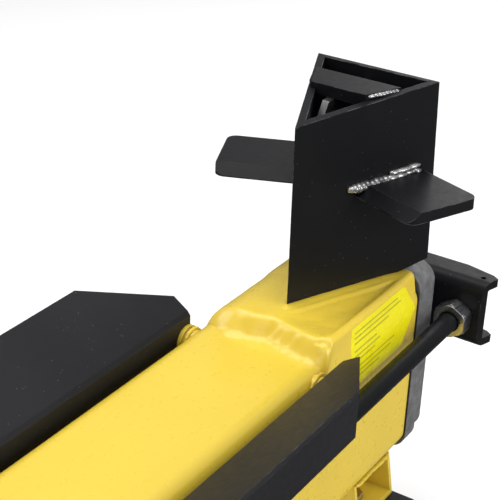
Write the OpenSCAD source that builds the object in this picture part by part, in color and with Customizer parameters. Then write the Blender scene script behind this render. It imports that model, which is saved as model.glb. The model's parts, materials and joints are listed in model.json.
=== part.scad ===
// Horizontal hydraulic log splitter with a four-way wedge.
// Units are millimetres. X runs along the beam towards the wedge, Y to the left, Z up.
// The driving dimensions are measured from the cutting edge of the wedge (x = 0) and from the floor.
// The drawn part is moved along X so that its origin is on the floor, under the middle of its length.

/* [Beam] */
// Width of the rectangular beam
beam_w = 120; // [100:1:150]
// Height of the beam
beam_h = 170; // [140:1:210]
// Wall of the beam
beam_wall = 5; // [3:0.5:8]
// Outer corner radius of the beam
beam_r = 15.5; // [8:0.5:22]
// Underside of the beam above the floor
beam_z = 142; // [130:1:260]
// Motor end of the beam
beam_x0 = -620; // [-700:5:-600]
// Wedge end of the beam
beam_x1 = 126; // [120:1:140]

/* [Saddle] */
// Rise of the saddle above the beam
saddle_rise = 17.3; // [8:0.1:30]
// Half width of the saddle
saddle_hw = 58; // [50:0.5:60]
// Radius of the rolled left edge
saddle_roll = 29; // [8:1:32]
// Plate of the saddle
saddle_t = 6; // [4:0.5:8]
// Foot of the front ramp
ramp_x0 = -43; // [-60:1:-40]
// Crest of the front ramp
ramp_x1 = -37; // [-44:1:-20]

/* [Wedge] */
// Half angle between the side plates
wedge_a = 23.5; // [15:0.5:30]
// Plate thickness
wedge_t = 6.5; // [6:0.5:12]
// Height at the cutting edge
wedge_h = 158; // [120:1:200]
// Extra height at the back
wedge_rise = 13; // [0:1:20]
// Amount the cutting edge leans forwards
wedge_lean = 2.5; // [0:0.5:10]
// Length at the foot
wedge_l = 138; // [110:0.5:160]
// Length at the top
wedge_lt = 129.5; // [110:0.5:160]

/* [Wings] */
// Reach of the right wing square to the side plate
wing_reach = 71.5; // [40:0.5:90]
// Extra reach of the left wing
wing_more = 4; // [0:0.5:8]
// Front of a wing along the side plate
wing_s0 = 62; // [40:0.5:80]
// Back of a wing along the side plate
wing_s1 = 132.5; // [100:0.5:140]
// Plate thickness
wing_t = 9.4; // [6:0.2:12]
// Top of the right wing above the saddle
wing_up = 95; // [60:1:120]
// Amount the left wing sits lower
wing_drop = 3.5; // [0:0.5:6]
// Rise of the right wing towards its tip
wing_tilt = 2; // [0:0.5:4]
// Length of the sharpened edge
wing_bevel = 10; // [4:1:16]
// Corner radius
wing_r = 9; // [3:1:16]

/* [End cover] */
// Thickness of the end cover
cover_t = 29; // [20:1:45]
// Thickness of a gasket
gasket_t = 2; // [1:0.5:3]
// Amount the covers stand out above and below the beam
cover_lip = 8; // [2:0.5:10]

/* [Ram] */
// Piston rod diameter
rod_d = 36; // [28:1:45]
// Cylinder bore
bore_d = 63; // [50:1:70]
// Outside diameter of the cylinder barrel
barrel_d = 75; // [66:1:80]
// Height of the ram axis above the floor
ram_z = 264; // [250:1:270]
// Tie rod shank diameter
tie_d = 18; // [12:0.5:20]
// Tie rod offset from the centre line
tie_y = 76; // [74:0.5:84]
// Nut size across flats
nut_af = 30; // [24:1:32]
// Nut height
nut_h = 16; // [12:1:18]

/* [Yoke] */
// Face of the yoke towards the beam
yoke_x = 180; // [176:1:200]
// Height of the yoke channel
yoke_h = 66; // [56:1:80]
// Depth of the flanges
yoke_d = 30; // [20:1:40]
// Plate of the yoke
yoke_t = 8; // [5:0.5:10]
// Half length of the yoke
yoke_hl = 104.5; // [98:1:120]

/* [Pusher] */
// Face of the pusher with the ram home
push_x = -508; // [-520:1:-480]
// Length of the sliding carriage
push_l = 104; // [80:1:105]
// Height of the pusher face above the beam
push_h = 128; // [90:1:160]
// Width of the pusher face
push_w = 104; // [70:1:110]

/* [Log trays] */
// Motor end of the trays
tray_x0 = -612; // [-618:1:-500]
// Wedge end of the trays at the crease
tray_x1 = -42; // [-60:1:-30]
// Crease offset from the centre line
tray_y = 70; // [68:0.5:76]
// Crease height above the beam top
tray_up = 7.8; // [2:0.2:14]
// Outer edge offset from the centre line
tray_out = 126.5; // [110:1:150]
// Outer edge height above the beam top
tray_top = 43.8; // [20:0.2:60]
// Sheet thickness
tray_t = 3; // [2:0.5:4]
// Depth of the outer lip
tray_lip = 38; // [20:1:50]
// Wedge end of the outer edge
tray_cut = -125; // [-130:1:-80]
// Extra distance of the right tray from the beam
tray_apart = 3.5; // [0:0.5:8]
// Extra length of the right tray towards the wedge
tray_fwd = 8; // [0:1:12]

/* [Stand and wheels] */
// Height of the bracket under the beam
bracket_h = 43; // [30:1:60]
// Half width of the foot at the floor
foot_hw = 118; // [90:1:140]
// Wheel diameter
wheel_d = 180; // [140:2:220]
// Wheel width
wheel_w = 38; // [28:1:50]
// Axle position along the beam
axle_x = -596; // [-610:1:-540]

/* [Motor] */
// Diameter over the cooling fins
motor_d = 138; // [120:1:150]
// Length of the motor housing
motor_l = 125; // [100:1:150]
// Height of the motor axis
motor_z = 222; // [212:1:230]
// Length of the fan cover
fan_l = 46; // [36:1:60]
// Number of cooling fins
fins = 32; // [16:4:48]

/* [Hidden] */
$fn = 72;
gap = 0.1;
eps = 0.5;
beam_top = beam_z + beam_h;
beam_mid = beam_z + beam_h / 2;
plateau = beam_top + saddle_rise;
saddle_x1 = 122;
cover_x = beam_x1 + gasket_t;
cover_x1 = cover_x + cover_t;
cover_w = beam_w + 2;
cover_h = beam_h + 2 * cover_lip;
cover_r = beam_r + 2;
pump_x1 = beam_x0 - gasket_t;
pump_flange = 14;
pump_x0 = pump_x1 - 68;
screw_y = 44;
screw_z = 71;
screw_d = 10;
head_d = 16;
head_h = 6.4;
lug = 26;
lug_l = 30;
seat = 4;
stud_d = 20;
thread_l = 34;
boss_xs = [-600, -48];
boss_z = beam_top - 15;
boss_y = 67;
boss_d = 26;
boss_t = 3.5;
boss_neck = 21;
tray_bolt = 10;
brace_x0 = 67;
brace_x1 = 100;
brace_t = 10;
axle_z = wheel_d / 2;
axle_d = 20;
wheel_y = 80;
tyre_t = 22;
hub_d = 40;
stand_x0 = 45;
stand_x1 = 112;
stand_t = 4;
pad_h = 14;
bracket_z = beam_z - bracket_h;
motor_x1 = pump_x0;
motor_x0 = motor_x1 - motor_l;
shield_t = 8;
fan_x0 = motor_x0 - fan_l;
shaft_d = 20;
gear_r = 15;
gear_m = 2.6;
gear_n = 11;
gear_l = 16;
gear_gap = 0.4;
lever_x = -672;
lever_z = 332;
lever_y = -16;
lever_t = 8;
lever_a = 24;
lever_l = 140;
spool_x = -644;
spool_d = 14;
pin_d = 8;
box_x0 = -806;
box_x1 = -722;
box_hw = 38;
box_z1 = 356;
button_d = 22;
button_x = [-784, -746];
button_z = 326;
plug_w = 30;
handle_d = 22;
handle_y = 84;
handle_z = 206;
handle_x0 = -902;
handle_r = 46;
handle_screws = [12, 42];
handle_screw_d = 8;
origin_x = (handle_x0 - handle_d / 2 + yoke_x + yoke_d) / 2;
stand_x = (stand_x0 + stand_x1) / 2;
foot_bolt_y = 38;
foot_lip = 34;
leg_hw = 62;
knee_hw = 84;
foot_t = 3;
pad_d = 30;
wedge_top = plateau + wedge_h + wedge_rise;
wedge_tilt = atan(wedge_lean * sin(wedge_a) / wedge_h);
heel_l = 34;
heel_h = 6;
brace_z = plateau + wedge_h + 2;
brace_in = 3;
brace_end = wedge_t / cos(wedge_a) + gap;
back_t = 5;
barrel_x0 = pump_x1 - seat;
barrel_x1 = cover_x + seat;
piston_x0 = barrel_x0 + 10;
piston_l = 42;
seal_x = [8, 26];
seal_w = 8;
seal_depth = 5;
rod_end_d = 24;
rod_nut_h = 18;
lug_x0 = push_x - 74;
lug_x1 = push_x - 40;
tie_x0 = lug_x0 - nut_h - 4;
tie_x1 = yoke_x + yoke_t + nut_h + 4;
push_z = beam_top + 10;
push_t = 14;
cheek_y = beam_w / 2 + 1;
cheek_t = 5;
tray_slope = (tray_top - tray_up) / (tray_out - tray_y);
gear_dist = 2 * gear_r + gear_gap;
gear_x0 = pump_x0 + 2;
gear_hole = shaft_d - 6;
neck_hw = 33;
neck_z0 = 152;
neck_z1 = 306;
filler_x = pump_x0 + 30;
filler_y = 18;
filler_d = 16;
bleed_x = pump_x0 + 34;
bleed_z = 244;
guard_d = 10;
guard_foot = 3;
guard_r = 22;
guard_x0 = pump_x0 - 28;
guard_x1 = pump_x0 + 41;
guard_z0 = 240;
guard_screw_z = guard_z0 - 10;
guard_screw_x = [-6.5, 6.5];
guard_screw_d = 6;
motor_bore = 112;
rotor_d = 65;
core_x = 30;
core_l = 66;
rim_d = wheel_d - 2 * tyre_t;

// Shared shapes

module rrect(w, h, r) {
    square([w - 2 * r, h], center = true);
    square([w, h - 2 * r], center = true);
    for (sx = [-1, 1]) for (sy = [-1, 1])
        translate([sx * (w / 2 - r), sy * (h / 2 - r)]) circle(r);
}

module along_x(x, l) {
    translate([x, 0, 0]) rotate([90, 0, 90]) linear_extrude(height = l) children();
}

module along_y(y, l) {
    translate([0, y + l, 0]) rotate([90, 0, 0]) linear_extrude(height = l) children();
}

module rod_x(x, l, d, y = 0, z = 0) {
    translate([x, y, z]) rotate([0, 90, 0]) cylinder(d = d, h = l);
}

module rod_y(y, l, d, x = 0, z = 0) {
    translate([x, y + l, z]) rotate([90, 0, 0]) cylinder(d = d, h = l);
}

module hex_x(x, l, af, y = 0, z = 0) {
    translate([x, y, z]) rotate([0, 90, 0]) cylinder(d = af / cos(30), h = l, $fn = 6);
}

module beam_section(extra = 0) {
    translate([0, beam_mid]) rrect(beam_w + 2 * extra, beam_h + 2 * extra, beam_r + extra);
}

module beam_inner() {
    translate([0, beam_mid]) rrect(beam_w - 2 * beam_wall, beam_h - 2 * beam_wall, beam_r - beam_wall);
}

module screw_places() {
    for (sy = [-1, 1]) for (sz = [-1, 1])
        translate([0, sy * screw_y, beam_mid + sz * screw_z]) children();
}

// Beam

module beam_tube() {
    color([0.95, 0.83, 0.2]) difference() {
        union() {
            difference() {
                along_x(beam_x0, beam_x1 - beam_x0) beam_section();
                along_x(beam_x0 - eps, beam_x1 - beam_x0 + 2 * eps) beam_inner();
            }
            // tapped corner blocks welded inside both ends
            intersection() {
                along_x(beam_x0, beam_x1 - beam_x0) beam_section(-beam_wall / 2);
                for (x = [beam_x0, beam_x1 - lug_l]) translate([x, 0, 0]) screw_places()
                    translate([0, -lug / 2, -lug / 2]) cube([lug_l, lug, lug]);
            }
        }
        rod_x(beam_x0 - eps, beam_x1 - beam_x0 + 2 * eps, barrel_d + 1, 0, ram_z);
        for (x = [beam_x0 - eps, beam_x1 - lug_l + 6]) translate([x, 0, 0]) screw_places()
            rod_x(0, lug_l - 6 + eps, screw_d + gap);
    }
}

module saddle_profile(inset) {
    polygon([[ramp_x0 + 6 + inset, beam_top - beam_r / 2], [ramp_x0 + inset, beam_top],
        [ramp_x1 + inset, plateau - inset], [saddle_x1 - inset, plateau - inset],
        [saddle_x1 - inset, beam_top - beam_r / 2]]);
}

// the left edge is rolled, the right edge is folded sharply
module saddle_section(inset) {
    hw = saddle_hw - inset;
    h = beam_h + 2 * (saddle_rise - inset);
    roll = saddle_roll - inset;
    translate([0, beam_mid]) intersection() {
        rrect(2 * hw, h, 8);
        translate([-roll, 0]) rrect(2 * (hw + roll), h, roll);
    }
}

module saddle_solid(inset) {
    intersection() {
        along_y(-beam_w, 2 * beam_w) saddle_profile(inset);
        along_x(ramp_x0, saddle_x1 - ramp_x0) saddle_section(inset);
    }
}

module saddle() {
    color([0.95, 0.83, 0.2]) difference() {
        saddle_solid(0);
        saddle_solid(saddle_t);
        along_x(ramp_x0 - eps, saddle_x1 - ramp_x0 + 2 * eps) beam_section();
    }
}

module tray_bosses() {
    neck_l = 22;
    color([0.95, 0.83, 0.2]) for (s = [0, 1]) mirror([0, s, 0]) for (x = boss_xs) difference() {
        translate([0, s * tray_apart, 0]) {
            rod_y(boss_y - boss_t - neck_l, neck_l + eps, boss_neck, x, boss_z);
            rod_y(boss_y - boss_t, boss_t, boss_d, x, boss_z);
        }
        along_x(x - boss_d, 3 * boss_d) beam_section();
        mirror([0, s, 0]) saddle_solid(0);
        rod_y(0, 2 * boss_y, tray_bolt + gap, x, boss_z);
    }
}

// Stand

module leg_bracket() {
    top_hw = 55;
    color([0.95, 0.83, 0.2]) difference() {
        intersection() {
            along_x(stand_x0 - 2, stand_x1 - stand_x0) polygon([[-top_hw, beam_z], [-leg_hw, bracket_z],
                [leg_hw, bracket_z], [top_hw, beam_z]]);
            difference() {
                translate([stand_x0 - 2, -beam_w, bracket_z])
                    cube([stand_x1 - stand_x0, 2 * beam_w, bracket_h]);
                translate([stand_x0 - 2 + stand_t, -beam_w, bracket_z + stand_t])
                    cube([stand_x1 - stand_x0 - 2 * stand_t, 2 * beam_w, bracket_h]);
            }
        }
        for (s = [-1, 1]) translate([stand_x - 2, s * foot_bolt_y, bracket_z - eps])
            cylinder(d = screw_d + gap, h = 2 * stand_t);
    }
}

module foot_section(inset) {
    ankle_z = pad_h + 22;
    polygon([[-knee_hw + inset, bracket_z - inset], [-foot_hw + inset, ankle_z],
        [-foot_hw + inset, pad_h + inset], [foot_hw - inset, pad_h + inset],
        [foot_hw - inset, ankle_z], [knee_hw - inset, bracket_z - inset]]);
}

// opening between the two legs
module foot_gap(inset) {
    polygon([[-leg_hw - inset, bracket_z - 24 + inset], [-foot_hw + foot_lip - inset, pad_h - eps],
        [foot_hw - foot_lip + inset, pad_h - eps], [leg_hw + inset, bracket_z - 24 + inset]]);
}

module foot_stand() {
    color([0.09, 0.09, 0.1]) difference() {
        along_x(stand_x0, stand_x1 - stand_x0) foot_section(0);
        along_x(stand_x0 + foot_t, stand_x1 - stand_x0 - 2 * foot_t) difference() {
            foot_section(foot_t);
            foot_gap(foot_t);
        }
        along_x(stand_x0 - eps, stand_x1 - stand_x0 + 2 * eps) foot_gap(0);
        for (s = [-1, 1]) translate([stand_x - 2, s * foot_bolt_y, bracket_z - 2 * stand_t])
            cylinder(d = screw_d + gap, h = 3 * stand_t);
    }
}

module foot_pads() {
    color([0.05, 0.05, 0.05]) for (s = [-1, 1])
        translate([stand_x, s * (foot_hw - pad_d / 2 - 3), 0]) cylinder(d = pad_d, h = pad_h);
}

module foot_bolts() {
    shank = 16;
    nut = 8;
    color([0.7, 0.7, 0.72]) for (s = [-1, 1]) translate([stand_x - 2, s * foot_bolt_y, 0]) {
        translate([0, 0, bracket_z + stand_t]) cylinder(d = head_d / cos(30), h = head_h, $fn = 6);
        translate([0, 0, bracket_z - shank]) cylinder(d = screw_d, h = shank + stand_t + eps);
        translate([0, 0, bracket_z - foot_t - nut]) cylinder(d = head_d / cos(30), h = nut, $fn = 6);
    }
}

// Wedge

// outer face of a side plate at the height of the brace
function outer_y(x) = (x + wedge_lean) * tan(wedge_a);

// layer parallel to the outer face of the right side plate, from depth y0 to y1
module plate_layer(y0, y1) {
    reach = 2 * wedge_h;
    translate([0, 0, plateau]) rotate([0, 0, -wedge_a]) rotate([wedge_tilt, 0, 0])
        translate([-reach, y0, -reach]) cube([3 * reach, y1 - y0, 3 * reach]);
}

module wedge_profile(x0, x1, xt) {
    edge_top = plateau + wedge_h;
    pitch = (edge_top - wedge_top) / (xt + wedge_lean);
    polygon([[x0, plateau], [x1 - heel_l, plateau], [x1, plateau + heel_h], [xt, wedge_top],
        [x0, edge_top - pitch * (x0 + wedge_lean)]]);
}

// the brace butts against the right plate and lies in a notch of the left one
module brace_plan() {
    polygon([[brace_x0, brace_end - outer_y(brace_x0)], [brace_x1, brace_end - outer_y(brace_x1)],
        [brace_x1, outer_y(brace_x1) - brace_in], [brace_x0, outer_y(brace_x0) - brace_in]]);
}

module wedge_side() {
    intersection() {
        plate_layer(0, wedge_t);
        along_y(-2 * beam_w, 2 * beam_w) wedge_profile(-4 * wedge_lean, wedge_l, wedge_lt);
    }
}

module wedge_sides() {
    color([0.09, 0.09, 0.1]) {
        wedge_side();
        difference() {
            mirror([0, 1, 0]) wedge_side();
            translate([0, 0, brace_z]) linear_extrude(height = 4 * brace_t) brace_plan();
        }
    }
}

module wedge_back() {
    wide = 2 * wedge_l;
    color([0.09, 0.09, 0.1]) intersection() {
        plate_layer(wedge_t, wide);
        mirror([0, 1, 0]) plate_layer(wedge_t, wide);
        along_y(-beam_w, 2 * beam_w) polygon([[wedge_l - back_t, plateau + heel_h],
            [wedge_l, plateau + heel_h], [wedge_lt, wedge_top], [wedge_lt - back_t, wedge_top]]);
    }
}

module wedge_brace() {
    color([0.09, 0.09, 0.1]) translate([0, 0, brace_z])
        linear_extrude(height = brace_t) brace_plan();
}

module wedge_rib() {
    rib_t = 6;
    rib_y = 8.5;
    rib_x0 = 43;
    knee_x = 59;
    knee_h = 24;
    top_z = brace_z - gap;
    back_x = wedge_l - back_t - gap;
    step_x = wedge_l - heel_l;
    lean = (wedge_l - wedge_lt) * (top_z - plateau - heel_h) / (wedge_top - plateau - heel_h);
    color([0.12, 0.12, 0.13]) along_y(rib_y - rib_t / 2, rib_t) polygon([[rib_x0, plateau],
        [step_x, plateau], [back_x, plateau + heel_h], [back_x - lean, top_z], [knee_x, top_z],
        [rib_x0, top_z - knee_h]]);
}

module wing(up, reach, tilt) {
    edge_z = 0.8 - wing_t;
    edge_x = wing_s0 - eps;
    root = 2;
    difference() {
        rotate([0, 0, -wedge_a]) translate([0, 0, plateau + up]) rotate([-tilt, 0, 0]) difference() {
            translate([0, 0, -wing_t]) linear_extrude(height = wing_t) intersection() {
                translate([(wing_s0 + wing_s1) / 2, 0]) rrect(wing_s1 - wing_s0, 2 * reach, wing_r);
                translate([wing_s0, -reach]) square([wing_s1 - wing_s0, reach + root]);
            }
            along_y(-reach - eps, reach + root + 2 * eps) polygon([[edge_x, edge_z],
                [wing_s0, edge_z], [wing_s0 + wing_bevel, 0], [wing_s0 + wing_bevel, eps],
                [edge_x, eps]]);
        }
        plate_layer(0, wedge_t);
    }
}

module wing_right() {
    color([0.09, 0.09, 0.1]) wing(wing_up, wing_reach, wing_tilt);
}

module wing_left() {
    color([0.09, 0.09, 0.1]) mirror([0, 1, 0]) wing(wing_up - wing_drop, wing_reach + wing_more, 0);
}

// End cover and cylinder

module oil_pocket() {
    translate([0, beam_z + 36]) rrect(80, 34, 8);
}

module end_gasket() {
    color([0.04, 0.04, 0.04]) difference() {
        along_x(beam_x1, gasket_t) beam_section(1);
        along_x(beam_x1 - eps, gasket_t + 2 * eps) beam_inner();
    }
}

module end_cover() {
    step = 10;
    lift = 2;
    gland_l = 8;
    gland_d = 66;
    color([0.55, 0.56, 0.57]) difference() {
        union() {
            along_x(cover_x, cover_t - step) translate([0, beam_mid + lift])
                rrect(cover_w, cover_h, cover_r);
            along_x(cover_x1 - step, step) translate([0, beam_mid + lift + 4])
                rrect(cover_w, cover_h - 8, cover_r);
            rod_x(cover_x1 - eps, gland_l + eps, gland_d, 0, ram_z);
        }
        rod_x(cover_x - eps, cover_t + gland_l + 2 * eps, rod_d + gap, 0, ram_z);
        rod_x(cover_x - eps, seat + eps, barrel_d + gap, 0, ram_z);
        rod_x(cover_x1 - 2, gland_l + 2 + eps, rod_d + 12, 0, ram_z);
        // cored pocket that lets oil reach the inside of the beam
        along_x(cover_x - eps, 12) oil_pocket();
        translate([cover_x - eps, 0, 0]) screw_places() rod_x(0, cover_t + 2 * eps, screw_d + gap);
    }
}

module side_screw(y0, y1, x, z, d) {
    rod_y(y0, y1 - y0 + eps, d, x, z);
    translate([x, y1 + 0.7 * d, z]) rotate([90, 0, 0]) cylinder(d = 1.6 * d / cos(30), h = 0.7 * d, $fn = 6);
}

module body_screws() {
    deep = 20;
    color([0.7, 0.7, 0.72]) {
        translate([cover_x1, 0, 0]) screw_places() {
            hex_x(0, head_h, head_d);
            rod_x(-cover_t - gasket_t - deep, cover_t + gasket_t + deep + eps, screw_d);
        }
        translate([pump_x1 - pump_flange, 0, 0]) screw_places() {
            hex_x(-head_h, head_h, head_d);
            rod_x(-eps, pump_flange + gasket_t + deep, screw_d);
        }
        for (s = [0, 1]) mirror([0, s, 0]) for (x = handle_screws)
            side_screw(beam_w / 2 - 12, handle_y + handle_d / 2, pump_x0 + x, handle_z, handle_screw_d);
        mirror([0, 1, 0]) for (x = guard_screw_x)
            side_screw(beam_w / 2 - 12, beam_w / 2 + guard_foot, guard_x1 + x, guard_screw_z, guard_screw_d);
    }
}

module rod_seal() {
    color([0.05, 0.05, 0.05]) difference() {
        rod_x(cover_x1 - 2, 9.5, rod_d + 12 - gap, 0, ram_z);
        rod_x(cover_x1 - 3, 12, rod_d + gap, 0, ram_z);
    }
}

module barrel() {
    color([0.6, 0.6, 0.62]) difference() {
        rod_x(barrel_x0, barrel_x1 - barrel_x0, barrel_d, 0, ram_z);
        rod_x(barrel_x0 - eps, barrel_x1 - barrel_x0 + 2 * eps, bore_d, 0, ram_z);
    }
}

module seal_rings(extra) {
    for (x = seal_x) difference() {
        rod_x(piston_x0 + x, seal_w, bore_d + extra, 0, ram_z);
        rod_x(piston_x0 + x - eps, seal_w + 2 * eps, bore_d - 2 * seal_depth, 0, ram_z);
    }
}

module piston() {
    color([0.5, 0.5, 0.52]) difference() {
        rod_x(piston_x0, piston_l, bore_d - gap, 0, ram_z);
        rod_x(piston_x0 - eps, piston_l + 2 * eps, rod_end_d + gap, 0, ram_z);
        seal_rings(2);
    }
}

module piston_seals() {
    color([0.1, 0.2, 0.35]) seal_rings(-gap / 2);
}

module piston_rod() {
    color([0.75, 0.76, 0.78]) {
        rod_x(piston_x0 + piston_l, yoke_x - piston_x0 - piston_l, rod_d, 0, ram_z);
        rod_x(piston_x0, piston_l + eps, rod_end_d, 0, ram_z);
        rod_x(yoke_x - eps, yoke_t + rod_nut_h + 4 + eps, rod_end_d, 0, ram_z);
    }
}

// Yoke and tie rods

module yoke_plan() {
    tip = 6;
    taper = 34;
    x1 = yoke_x + yoke_d;
    polygon([[yoke_x, -yoke_hl + tip], [x1 - 10, -yoke_hl], [x1 - tip, -yoke_hl + tip],
        [x1, -yoke_hl + taper], [x1, yoke_hl - taper], [x1 - tip, yoke_hl - tip], [x1 - 10, yoke_hl],
        [yoke_x, yoke_hl - tip]]);
}

module yoke() {
    r_out = 11;
    r_in = 1.5;
    mid = ram_z + 4.5;
    wide = 4 * yoke_d;
    color([0.09, 0.09, 0.1]) difference() {
        intersection() {
            translate([0, 0, mid - yoke_h / 2]) linear_extrude(height = yoke_h) yoke_plan();
            along_y(-2 * yoke_hl, 4 * yoke_hl) difference() {
                translate([yoke_x + wide / 2, mid]) rrect(wide, yoke_h, r_out);
                translate([yoke_x + wide / 2 + yoke_t, mid])
                    rrect(wide, yoke_h - 2 * yoke_t, r_in);
            }
        }
        rod_x(yoke_x - eps, yoke_t + 2 * eps, rod_end_d + gap, 0, ram_z);
        for (s = [-1, 1]) {
            rod_x(yoke_x - eps, yoke_t + 2 * eps, stud_d + gap, s * tie_y, ram_z);
            // drain hole in the upper flange
            translate([yoke_x + 14, s * (yoke_hl - 12), ram_z]) cylinder(d = 5, h = yoke_h);
        }
    }
}

module rod_nut() {
    x = yoke_x + yoke_t;
    color([0.7, 0.7, 0.72]) difference() {
        translate([0, 0, ram_z]) rotate([30, 0, 0]) hex_x(x, rod_nut_h, 1.5 * rod_end_d);
        rod_x(x - eps, rod_nut_h + 2 * eps, rod_end_d + gap, 0, ram_z);
    }
}

module tie_rods() {
    color([0.1, 0.1, 0.11]) for (s = [-1, 1]) {
        rod_x(tie_x0 + thread_l, tie_x1 - tie_x0 - 2 * thread_l, tie_d, s * tie_y, ram_z);
        rod_x(tie_x0, lug_x1 + nut_h - tie_x0 - 3, stud_d, s * tie_y, ram_z);
        rod_x(yoke_x - nut_h + 3, tie_x1 - yoke_x + nut_h - 3, stud_d, s * tie_y, ram_z);
    }
}

module tie_nuts() {
    chamfer = 1.6;
    color([0.72, 0.72, 0.74]) for (s = [-1, 1])
        for (x = [lug_x0 - nut_h, lug_x1, yoke_x - nut_h, yoke_x + yoke_t]) difference() {
            intersection() {
                hex_x(x, nut_h, nut_af, s * tie_y, ram_z);
                union() {
                    rod_x(x + chamfer, nut_h - 2 * chamfer, 2 * nut_af, s * tie_y, ram_z);
                    rod_x(x, nut_h, nut_af + chamfer, s * tie_y, ram_z);
                }
            }
            rod_x(x - eps, nut_h + 2 * eps, stud_d + gap, s * tie_y, ram_z);
        }
}

// Pusher

module pusher_plate() {
    teeth = 3;
    groove = 5;
    rib_t = 10;
    rib_y = 30;
    back = push_x - push_t + eps;
    heel = push_x - push_l + 8;
    color([0.09, 0.09, 0.1]) {
        difference() {
            along_x(push_x - push_t, push_t) translate([0, push_z + push_h / 2]) rrect(push_w, push_h, 8);
            for (i = [1 : teeth]) translate([push_x, 0, push_z + i * push_h / (teeth + 1)])
                rotate([0, 45, 0]) cube([groove, push_w + 2, groove], center = true);
        }
        for (s = [-1, 1]) along_y(s * rib_y - rib_t / 2, rib_t) polygon([[back, push_z], [heel, push_z],
            [heel, push_z + 12], [push_x - 40, push_z + push_h - 18], [back, push_z + push_h - 18]]);
    }
}

module pusher_carriage() {
    cheek_x0 = push_x - 76;
    cheek_l = push_x - cheek_x0 - 6;
    deck = push_z - beam_top;
    color([0.09, 0.09, 0.1]) difference() {
        union() {
            translate([push_x - push_l, -cheek_y, beam_top + gap]) cube([push_l, 2 * cheek_y, deck - gap]);
            for (s = [0, 1]) mirror([0, s, 0]) {
                translate([cheek_x0, cheek_y, ram_z - 22]) cube([cheek_l, cheek_t, push_z - ram_z + 22]);
                translate([cheek_x0, cheek_y - eps, beam_top + gap]) cube([cheek_l, cheek_t, deck - gap]);
                translate([lug_x0, cheek_y, ram_z - 18]) cube([lug_x1 - lug_x0, 30, 33]);
            }
        }
        for (s = [-1, 1]) {
            rod_x(lug_x0 - eps, lug_x1 - lug_x0 + 2 * eps, stud_d + gap, s * tie_y, ram_z);
            // room for the nuts beside the cheek
            for (x = [lug_x0 - nut_h - 2, lug_x1])
                rod_x(x - eps, nut_h + 2 + eps, nut_af / cos(30) + 2, s * tie_y, ram_z);
        }
    }
}

// Log trays

module tray_section() {
    zc = beam_top + tray_up;
    zo = beam_top + tray_top;
    flange_z = zc - 32;
    bend = 3;
    under = tray_t / cos(atan(tray_slope));
    inner = tray_out - tray_t;
    polygon([[boss_y, flange_z], [tray_y, flange_z], [tray_y, zc - bend - 1], [tray_y + bend, zc - bend / 2],
        [inner, zo - under], [inner, zo - tray_lip], [tray_out, zo - tray_lip], [tray_out, zo - 2],
        [tray_out - 2, zo], [tray_y, zc + 0.6], [boss_y, zc - bend]]);
}

module tray_plan(fwd) {
    neck_y = 84;
    lean = 50;
    polygon([[tray_x0, boss_y - eps], [tray_x0, neck_y], [tray_x0 + lean, tray_out + eps],
        [tray_cut + fwd, tray_out + eps], [tray_x1 + fwd, neck_y], [tray_x1 + fwd, boss_y - eps]]);
}

module tray(fwd = 0) {
    crease_z = beam_top + tray_up;
    lip_z = crease_z - 40;
    difference() {
        intersection() {
            along_x(tray_x0, tray_x1 + fwd - tray_x0) tray_section();
            linear_extrude(height = 2 * beam_top) tray_plan(fwd);
        }
        for (x = boss_xs) rod_y(boss_y - eps, tray_t + 2 * eps, tray_bolt + gap, x, boss_z);
        // slanted ends of the lip and of the inner flange
        for (s = [0, 1]) translate([s == 0 ? tray_cut + fwd : tray_x0 + 50, 0, 0]) mirror([s, 0, 0])
            along_y(tray_out - 10, 20) polygon([[1, lip_z], [-14, lip_z], [1, crease_z - 2]]);
        translate([tray_x1 + fwd, 0, 0]) along_y(boss_y - 1, 6)
            polygon([[1, crease_z - 8], [-2.4, lip_z], [1, lip_z]]);
    }
}

module tray_left() {
    color([0.13, 0.13, 0.14]) tray();
}

module tray_right() {
    color([0.13, 0.13, 0.14]) mirror([0, 1, 0]) translate([0, tray_apart, 0]) tray(tray_fwd);
}

module tray_bolts() {
    color([0.7, 0.7, 0.72]) for (s = [0, 1]) mirror([0, s, 0]) for (x = boss_xs)
        side_screw(beam_w / 2 + 0.3, boss_y + tray_t + s * tray_apart, x, boss_z, tray_bolt);
}

// Pump and valve block

module pump_gasket() {
    color([0.04, 0.04, 0.04]) difference() {
        along_x(pump_x1, gasket_t) beam_section(1);
        along_x(pump_x1 - eps, gasket_t + 2 * eps) beam_inner();
    }
}

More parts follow.
